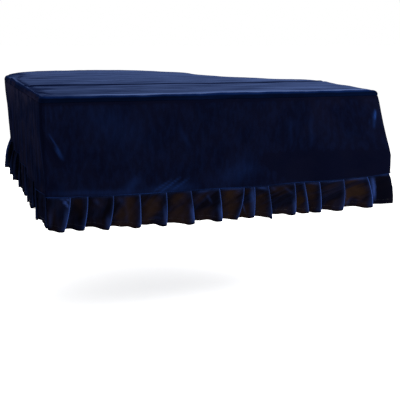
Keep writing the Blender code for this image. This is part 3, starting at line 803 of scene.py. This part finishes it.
PLEAT_OPEN = 0.65               # how far it is open at the hem for its stand-out, at most
PLEAT_DIP = (-0.002, 0.004)
PLEAT_SEED = 7
HEM_SAG = (
    # side, place along it, how much lower the hem hangs there
    ("front", 0.00, 0.006),
    ("front", 0.20, 0.005),
    ("front", 0.35, 0.011),
    ("front", 0.46, 0.008),
    ("front", 0.53, 0.012),
    ("front", 0.60, 0.014),
    ("front", 0.67, 0.009),
    ("front", 0.80, 0.009),
    ("front", 0.90, 0.006),
    ("front", 1.15, 0.006),
    ("front", 1.33, -0.001),
    ("front", 1.43, -0.004),
    ("front", 1.49, -0.003),
    ("bentside", 0.40, 0.000),
    ("spine", 0.60, 0.000),
    ("spine", 0.90, -0.010),
    ("spine", 1.10, -0.001),
)
HEM_DIP = (0.006, 0.015, 0.022) # beside each fold: depth, distance before it, half width
SEAM_STAND = 0.0005             # how far a pleat's front stands out at the seam
PLEAT_HEAD = 0.013              # how far each pleat doubles back at the seam
LAYER_STEP = 0.0035             # from one layer of a pleat to the next at the seam
PLEAT_BACK = 0.009              # how far the hem swings in behind the seam
HEM_ROUND = 0.008               # radius of a fold at the hem
BEHIND_FOLD = 0.002             # from a fold to the next flat part
FLAT_BOW = 0.35                 # part of a flat part's rise that is even
FRILL_LEVELS = np.concatenate((
    (-SEAM_TAKE / FRILL, 0.0, 0.004, 0.02), np.linspace(0.06, 0.94, 20), (0.965, 0.985, 1.0)
))
STITCHES_UP = 0.018             # the hem's stitches above its edge
STITCH_PITCH = 0.0040
STITCH_LENGTH = 0.0032
STITCH_THICK = 0.0007
STITCH_SIDES = 6
STITCH_RINGS = 5
FRILL_CREASES = (
    # from along the front, below the seam; to along, below; half width; height; painted light (painted
    # shade below 0)
    (0.074, 0.002, 0.094, 0.036, 0.0045, 0.0030, 0.42),
    (0.087, 0.001, 0.104, 0.013, 0.0028, 0.0015, 0.24),
    (0.090, 0.045, 0.074, 0.112, 0.0080, 0.0000, 0.10),
    (0.020, 0.004, 0.021, 0.118, 0.0060, 0.0030, 0.16),
    (0.205, 0.012, 0.222, 0.036, 0.0100, 0.0010, 0.07),
    (0.300, 0.010, 0.325, 0.030, 0.0100, 0.0010, 0.06),
    (0.333, 0.010, 0.336, 0.112, 0.0080, 0.0025, 0.09),
    (0.415, 0.090, 0.480, 0.075, 0.0050, 0.0015, 0.04),
    (0.420, 0.110, 0.490, 0.100, 0.0050, 0.0015, 0.04),
    (0.430, 0.062, 0.470, 0.048, 0.0050, 0.0012, 0.03),
    (0.540, 0.105, 0.600, 0.095, 0.0050, 0.0012, 0.03),
    (0.650, 0.010, 0.700, 0.004, 0.0060, 0.0015, 0.10),
    (0.690, 0.020, 0.708, 0.056, 0.0050, 0.0015, 0.09),
    (0.760, 0.004, 0.845, 0.002, 0.0045, 0.0010, 0.18),
    (0.800, 0.030, 0.840, 0.010, 0.0060, 0.0015, 0.10),
    (0.846, 0.050, 0.866, 0.115, 0.0032, 0.0020, 0.34),
    (0.893, 0.004, 0.890, 0.108, 0.0085, 0.0040, 0.26),
    (0.925, 0.004, 0.965, 0.012, 0.0060, 0.0020, 0.18),
    (0.990, 0.010, 1.010, 0.022, 0.0060, 0.0010, 0.08),
    (1.045, 0.010, 1.090, 0.045, 0.0060, 0.0015, 0.06),
    (1.140, 0.006, 1.158, 0.116, 0.0060, 0.0030, 0.14),
    (1.155, 0.004, 1.198, 0.008, 0.0050, 0.0015, 0.12),
    (1.215, 0.004, 1.290, 0.001, 0.0040, 0.0010, 0.12),
    (1.308, 0.058, 1.306, 0.116, 0.0075, 0.0025, 0.30),
    (1.318, 0.006, 1.378, 0.004, 0.0065, 0.0015, 0.18),
    (1.322, 0.075, 1.365, 0.092, 0.0045, 0.0020, 0.03),
    (1.325, 0.100, 1.370, 0.108, 0.0045, 0.0018, 0.03),
    (1.320, 0.050, 1.342, 0.066, 0.0055, 0.0020, 0.05),
    (1.403, 0.003, 1.405, 0.108, 0.0070, 0.0060, 0.44),
    (0.255, 0.080, 0.250, 0.120, 0.0080, 0.0000, 0.12),
    (0.495, 0.050, 0.497, 0.120, 0.0070, 0.0000, 0.12),
    (0.612, 0.060, 0.620, 0.120, 0.0100, 0.0000, 0.22),
    (0.741, 0.070, 0.746, 0.120, 0.0090, 0.0000, 0.18),
    (1.090, 0.070, 1.093, 0.120, 0.0080, 0.0000, 0.14),
    (1.445, 0.030, 1.455, 0.130, 0.0350, 0.0000, -0.10),
    (1.440, 0.000, 1.480, 0.002, 0.0050, 0.0010, 0.16),
    (1.482, 0.002, 1.478, 0.040, 0.0060, 0.0015, 0.14),
)


def all_pleats():
    """Every pleat round the cover, as rows like those of FRONT_PLEATS."""
    rng = np.random.default_rng(PLEAT_SEED)
    rows = list(FRONT_PLEATS)
    for side, count, *stands in PLEATED_SIDES:
        start, end = SIDES[side]
        pitch = (end - start) / count
        for k in range(count):
            out = np.interp(k / (count - 1), (0.0, 0.5, 1.0), stands)
            rows.append((
                start + (k + PLEAT_SHARE) * pitch + rng.uniform(-1, 1) * PLEAT_UNEVEN,
                rng.uniform(-1, 1) * PLEAT_LEAN,
                out * (1.0 + rng.uniform(-1, 1) * PLEAT_OUT_UNEVEN),
                -PLEAT_OPEN * rng.uniform(0.0, 1.0) * out,
                rng.uniform(*PLEAT_DIP),
                # how strongly the painted warm reflection shows on the flat part before it
                0.25 - 0.25 * math.cos(2.4 * k),
            ))
    return rows


PLEATS = all_pleats()


def pleat(k, v):
    """Pleat k at v, from 0 at the seam to 1 at the hem: its folded edge, how far
    it doubles back, and the outward places of its front, middle and back."""
    turn, k = divmod(k, len(PLEATS))
    edge, lean, out, double = PLEATS[k][:4]
    front = SEAM_STAND + (out - SEAM_STAND) * (1.0 - (1.0 - v) ** 2)
    back = SEAM_STAND - 2 * LAYER_STEP - (PLEAT_BACK - 2 * LAYER_STEP) * v
    middle = (front + back) / 2 * (1 - v) + (back + LAYER_STEP) * v
    edge += lean * v ** 1.4 + turn * AROUND
    return edge, PLEAT_HEAD + (double - PLEAT_HEAD) * v, front, middle, back


def flat_part(k, v):
    """The ends of the flat part that runs up to pleat k, and its outward places."""
    before = pleat(k - 1, v)
    here = pleat(k, v)
    return before[0] + abs(before[1]) / 2 + BEHIND_FOLD, here[0] + here[1] / 2, before[4], here[2]


def flat_rows(k, v, shares, first=None, last=None):
    """Rows of the flat part before pleat k: place, stand-out, dip, distance to the
    folded edge and painted warm reflection.  Where the pleat lies doubled it has come out in full."""
    start, end, low, high = flat_part(k, v)
    full = end - max(pleat(k, v)[1], 0.0) * (1.0 - v)
    first = start if first is None else first
    last = end if last is None else last
    rows = []
    for share in shares:
        s = first + (last - first) * share
        t = min(max((s - start) / (full - start), 0.0), 1.0)
        out = low + (high - low) * (FLAT_BOW * t + (1.0 - FLAT_BOW) * t ** 3)
        painted_reflection = PLEATS[k % len(PLEATS)][5] * math.sin(math.pi * t) ** 0.7
        rows.append((s, out, 0.0, end - s, painted_reflection))
    return rows


def frill_line(side, v):
    """The middle of the frill's cloth at v, in rows as flat_rows gives them."""
    start, end = SIDES[side]
    start += GAP / 2
    end -= GAP / 2
    inside = [k for k, row in enumerate(PLEATS) if start < row[0] < end]
    fold = LAYER_STEP / 2 + (HEM_ROUND - LAYER_STEP / 2) * v
    rows = flat_rows(inside[0], v, (0.0, 0.5), first=start)
    for k in inside:
        if k != inside[0]:
            rows += flat_rows(k, v, (0.0, 0.25, 0.50, 0.74, 0.90))
        edge, double, front, middle, back = pleat(k, v)
        last = edge + double / 2
        dip = PLEATS[k][4] * v
        rows.append((last, front, dip, 0.0, 0.0))
        rows.append((last + 0.87 * fold, front - 0.5 * fold, dip, -0.87 * fold, 0.0))
        rows.append((last + fold, front - 1.3 * fold, dip, -fold, 0.0))
        rows.append((edge - double / 2, middle, 0.0, 2 * PLEAT_HEAD, 0.0))
        rows.append((edge - double / 2, back, 0.0, 2 * PLEAT_HEAD, 0.0))
    rows += flat_rows(inside[-1] + 1, v, (0.0, 0.5, 1.0), last=end)
    return np.array(rows)


def rounded(rows, times):
    """The same line with its corners cut times over, its ends kept."""
    for _ in range(times):
        quarter = rows[:-1] * 0.75 + rows[1:] * 0.25
        three = rows[:-1] * 0.25 + rows[1:] * 0.75
        cut = np.stack((quarter, three), axis=1).reshape(-1, rows.shape[1])
        rows = np.vstack((rows[:1], cut[1:-1], rows[-1:]))
    return rows


# A darker copy of the velvet for the frill, painted shade on the upright sides, with a bright brushed
# colour for the painted highlights of its folds and a brown painted reflection as its cast colour
shaded_frill_velvet = velvet(
    "shaded_frill_velvet", (1.3, 0.30, 1.0), 0.03, (0.0014, 0.0016, 0.0042, 1), (0.040, 0.088, 0.340, 1),
    (0.0125, 0.0070, 0.0052, 1), (0.08, 0.16, 0.50, 1), 0.03,
)


def sewing_thread():
    """Dark blue thread, with its fibres a little uneven in colour."""
    material = bpy.data.materials.new("thread")
    material.use_nodes = True
    shader = material.node_tree.nodes["Principled BSDF"]
    start = Shade(material.node_tree)
    wound = start.node("ShaderNodeTexCoord", out=3)
    fibre = start.node("ShaderNodeTexNoise", {}, {"Vector": wound, "Scale": 900.0, "Detail": 2.0})
    colour = fibre.mix((0.0008, 0.0012, 0.0045, 1), (0.0022, 0.0036, 0.0140, 1))
    material.node_tree.links.new(colour.socket, shader.inputs["Base Color"])
    shader.inputs["Roughness"].default_value = 0.5
    return material


thread = sewing_thread()


def stitch_nodes():
    """Geometry Nodes that lay stitches along a line, each one pointed at both ends."""
    tree = bpy.data.node_groups.new("stitches", "GeometryNodeTree")
    tree.interface.new_socket("Geometry", in_out="INPUT", socket_type="NodeSocketGeometry")
    for label in ("Pitch", "Length", "Thickness"):
        tree.interface.new_socket(label, in_out="INPUT", socket_type="NodeSocketFloat")
    tree.interface.new_socket("Material", in_out="INPUT", socket_type="NodeSocketMaterial")
    tree.interface.new_socket("Geometry", in_out="OUTPUT", socket_type="NodeSocketGeometry")
    given = tree.nodes.new("NodeGroupInput")
    line = tree.nodes.new("GeometryNodeMeshToCurve")
    spaced = tree.nodes.new("GeometryNodeResampleCurve")
    spaced.mode = "LENGTH"
    along = tree.nodes.new("GeometryNodeInputTangent")
    turned = tree.nodes.new("FunctionNodeAlignRotationToVector")
    turned.axis = "Z"
    stitch = tree.nodes.new("GeometryNodeMeshUVSphere")
    stitch.inputs["Segments"].default_value = STITCH_SIDES
    stitch.inputs["Rings"].default_value = STITCH_RINGS
    stitch.inputs["Radius"].default_value = 0.5
    size = tree.nodes.new("ShaderNodeCombineXYZ")
    laid = tree.nodes.new("GeometryNodeInstanceOnPoints")
    real = tree.nodes.new("GeometryNodeRealizeInstances")
    painted = tree.nodes.new("GeometryNodeSetMaterial")
    result = tree.nodes.new("NodeGroupOutput")
    for a, out, b, into in (
        (given, "Geometry", line, "Mesh"), (line, "Curve", spaced, "Curve"),
        (given, "Pitch", spaced, "Length"), (spaced, "Curve", laid, "Points"),
        (along, "Tangent", turned, "Vector"), (turned, "Rotation", laid, "Rotation"),
        (given, "Thickness", size, "X"), (given, "Thickness", size, "Y"),
        (given, "Length", size, "Z"), (size, "Vector", laid, "Scale"),
        (stitch, "Mesh", laid, "Instance"), (laid, "Instances", real, "Geometry"),
        (real, "Geometry", painted, "Geometry"), (given, "Material", painted, "Material"),
        (painted, "Geometry", result, "Geometry"),
    ):
        tree.links.new(a.outputs[out], b.inputs[into])
    return tree


STITCHES = stitch_nodes()


def row_of_stitches(name, line):
    """One row of stitches along a line of points."""
    mesh = bpy.data.meshes.new(name + "_line")
    mesh.from_pydata(line.tolist(), [(i, i + 1) for i in range(len(line) - 1)], [])
    guide = bpy.data.objects.new(name + "_line", mesh)
    bpy.context.scene.collection.objects.link(guide)
    laid = guide.modifiers.new("stitches", "NODES")
    laid.node_group = STITCHES
    given = {"Pitch": STITCH_PITCH, "Length": STITCH_LENGTH, "Thickness": STITCH_THICK, "Material": thread}
    for item in STITCHES.interface.items_tree:
        if item.in_out == "INPUT" and item.name in given:
            laid[item.identifier] = given[item.name]
    made = guide.evaluated_get(bpy.context.evaluated_depsgraph_get())
    piece = bpy.data.objects.new(name, bpy.data.meshes.new_from_object(made))
    bpy.data.objects.remove(guide)
    bpy.context.scene.collection.objects.link(piece)
    piece.data.shade_smooth()
    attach(piece, "root")
    return piece


def frill(side):
    """The pleated frill under one panel of the drop, with the stitches of its hem."""
    creases = FRILL_CREASES if side == "front" else ()
    depth_of_dip, before_fold, dip_width = HEM_DIP
    points = []
    cloth = []
    light = []
    reflection_and_shade = []
    for v in FRILL_LEVELS:
        rows = rounded(frill_line(side, max(v, 0.0)), 2)
        s = rows[:, 0]
        here, out = place(s)
        depth = np.full(len(s), v * FRILL)
        rise, lighter = along_creases(np.stack((s, depth), axis=1), creases)
        wave = 0.0016 * v * np.sin(s * 71.0 + 5.0 * v) + 0.0011 * np.sin(s * 143.0 + 3.0 * np.sin(9.0 * v))
        wave += 0.0009 * np.sin(s * 61.0 + 26.0 * v)
        wave += 0.0010 * rows[:, 4] * v * np.sin(s * 55.0 + 48.0 * v + 3.0 * np.sin(s * 29.0))
        open_place = soft(rows[:, 3] / 0.012) * soft(v / 0.15)
        reach = rows[:, 1] - CLOTH / 2 + rise + wave * open_place
        reach = stand_out(s, 1.0) + (np.minimum(reach, -SEAM_IN) if v <= 0.0 else reach)
        plan = here + out * reach[:, None] + swing(s, 1.0 + v)
        dip = rows[:, 2] + depth_of_dip * v * abs(v) * hump((rows[:, 3] - before_fold) / dip_width)
        seam = FOOT_Z - GAP - sag(s, SEAM_SAG)
        z = seam + (HEM_Z - sag(s, HEM_SAG) - seam) * v + TAIL_RISE * round_tail(s) - dip
        z = z - 0.0012 * v * np.sin(s * 90.0 + 2.0 * np.sin(s * 17.0))
        points.append(np.column_stack((plan, z)))
        step = np.linalg.norm(np.diff(plan, axis=0), axis=1)
        cloth.append(np.stack((np.concatenate(([0.0], np.cumsum(step))), z), axis=1))
        # Painted light on the frill: a band of painted sheen before each folded edge, widening towards the
        # hem, a painted highlight on the edge itself and a little at the seam, with the creases' own; none
        # at the hem, which gets a line of painted shade; all much weaker along the spine
        rim = rows[:, 3] + 0.9 * (LAYER_STEP / 2 + (HEM_ROUND - LAYER_STEP / 2) * v)
        painted_band_light = hump((rim - 0.004) / (0.005 + 0.010 * v ** 2)) * (0.02 + 0.12 * v ** 2)
        line = hump((rim - 0.001) / 0.0017) * (0.40 + 0.35 * v) * (0.75 + 0.25 * np.sin(s * 37.0))
        head = 0.06 * hump(v * FRILL / 0.006)
        at_hem = hump((1.0 - v) * FRILL / 0.007)
        shown = (lighter + painted_band_light + line + head) * (1.0 - at_hem)
        light.append(shown * (0.12 if side == "spine" else 1.0) - 0.05 * at_hem)
        # A painted warm reflection on the middle of each flat part, weaker along the spine
        reflection_and_shade.append(rows[:, 4] * soft(v / 0.12) * (0.4 if side == "spine" else 1.0) + 0.05)
    points = np.stack(points, axis=1)
    faces = grid_faces(len(points), len(FRILL_LEVELS))
    cloth = np.stack(cloth, axis=1).reshape(-1, 2)
    light = np.stack(light, axis=1).ravel()
    reflection_and_shade = np.stack(reflection_and_shade, axis=1).ravel()
    name = "ruffle_" + side
    piece = sheet_of_velvet(
        name, points.reshape(-1, 3), faces, cloth, light, reflection_and_shade, 0.0
    )
    piece.data.materials.append(shaded_frill_velvet)
    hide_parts(name)
    level = int(np.argmin(np.abs((1.0 - FRILL_LEVELS) * FRILL - STITCHES_UP)))
    step = np.gradient(points[:, level, :2], axis=0)
    outward = np.stack((step[:, 1], -step[:, 0]), axis=1) / np.linalg.norm(step, axis=1)[:, None]
    line = points[:, level].copy()
    line[:, :2] += outward * (CLOTH / 2 + STITCH_THICK / 4)
    stitches = row_of_stitches("stitches_" + side, line)
    "drop_" + side


for side_name in SIDES:
    frill(side_name)

# The floor and the light
# A plain white floor under a plain white sky, one large soft light high at the right and
# one behind that grazes the top.
FLOOR_Z = -1.007
FLOOR_HALF = 30.0
floor_mesh = bpy.data.meshes.new("floor")
floor_corners = [(x * FLOOR_HALF, y * FLOOR_HALF, FLOOR_Z) for x, y in ((-1, -1), (1, -1), (1, 1), (-1, 1))]
floor_mesh.from_pydata(floor_corners, [], [(0, 1, 2, 3)])
floor = bpy.data.objects.new("floor", floor_mesh)
bpy.context.scene.collection.objects.link(floor)
floor_paint = bpy.data.materials.new("floor_paint")
floor_paint.use_nodes = True
floor_shader = floor_paint.node_tree.nodes["Principled BSDF"]
floor_shader.inputs["Base Color"].default_value = (0.9, 0.9, 0.9, 1)
floor_shader.inputs["Roughness"].default_value = 0.9
floor_shader.inputs["Emission Color"].default_value = (1, 1, 1, 1)
floor_shader.inputs["Emission Strength"].default_value = 0.62
floor_mesh.materials.append(floor_paint)

world = bpy.data.worlds.new("white_sky")
world.use_nodes = True
background = world.node_tree.nodes["Background"]
background.inputs["Color"].default_value = (1, 1, 1, 1)
SKY_LIGHT = 0.45                # what the sky sheds; the camera sees it plain white
sky_strength = Shade(world.node_tree).node("ShaderNodeLightPath") * (1 - SKY_LIGHT) + SKY_LIGHT
world.node_tree.links.new(sky_strength.socket, background.inputs["Strength"])
bpy.context.scene.world = world
bpy.context.scene.view_settings.view_transform = "Standard"
LIGHTS = (
    # name, place, aims at, size, power in watts
    ("high_right", (2.9, -3.0, 2.3), (0.0, -0.2, -0.2), 1.5, 170.0),
    ("behind", (-0.6, 3.6, 1.7), (0.0, 0.0, 0.0), 2.4, 130.0),
)
for label, spot, aim, size, power in LIGHTS:
    lamp = bpy.data.lights.new(label, "AREA")
    lamp.size = size
    lamp.energy = power
    light_object = bpy.data.objects.new(label, lamp)
    light_object.location = spot
    light_object.rotation_euler = (Vector(aim) - Vector(spot)).to_track_quat("-Z", "Y").to_euler()
    bpy.context.scene.collection.objects.link(light_object)

# The camera
# It stands before the front, to the left and higher than the top, and looks slightly
# down.
CAMERA_PLACE = Vector((-1.25615, -3.91152, 0.32197))
YAW = 0.349297485               # angles in radians
PITCH = 0.220892377
TILT = 0.0132031763
SENSOR = 36.0
LENS = 74.2614
ahead = Vector((math.sin(YAW) * math.cos(PITCH), math.cos(YAW) * math.cos(PITCH), -math.sin(PITCH)))
level = Vector((math.cos(YAW), -math.sin(YAW), 0.0))
upward = level.cross(ahead)
right = level * math.cos(TILT) + upward * math.sin(TILT)
upright = upward * math.cos(TILT) - level * math.sin(TILT)
camera_data = bpy.data.cameras.new("camera")
camera_data.sensor_width = SENSOR
camera_data.lens = LENS
camera = bpy.data.objects.new("camera", camera_data)
facing = Matrix((right, upright, -ahead)).transposed().to_4x4()
camera.matrix_world = Matrix.Translation(CAMERA_PLACE) @ facing
bpy.context.scene.collection.objects.link(camera)
bpy.context.scene.camera = camera
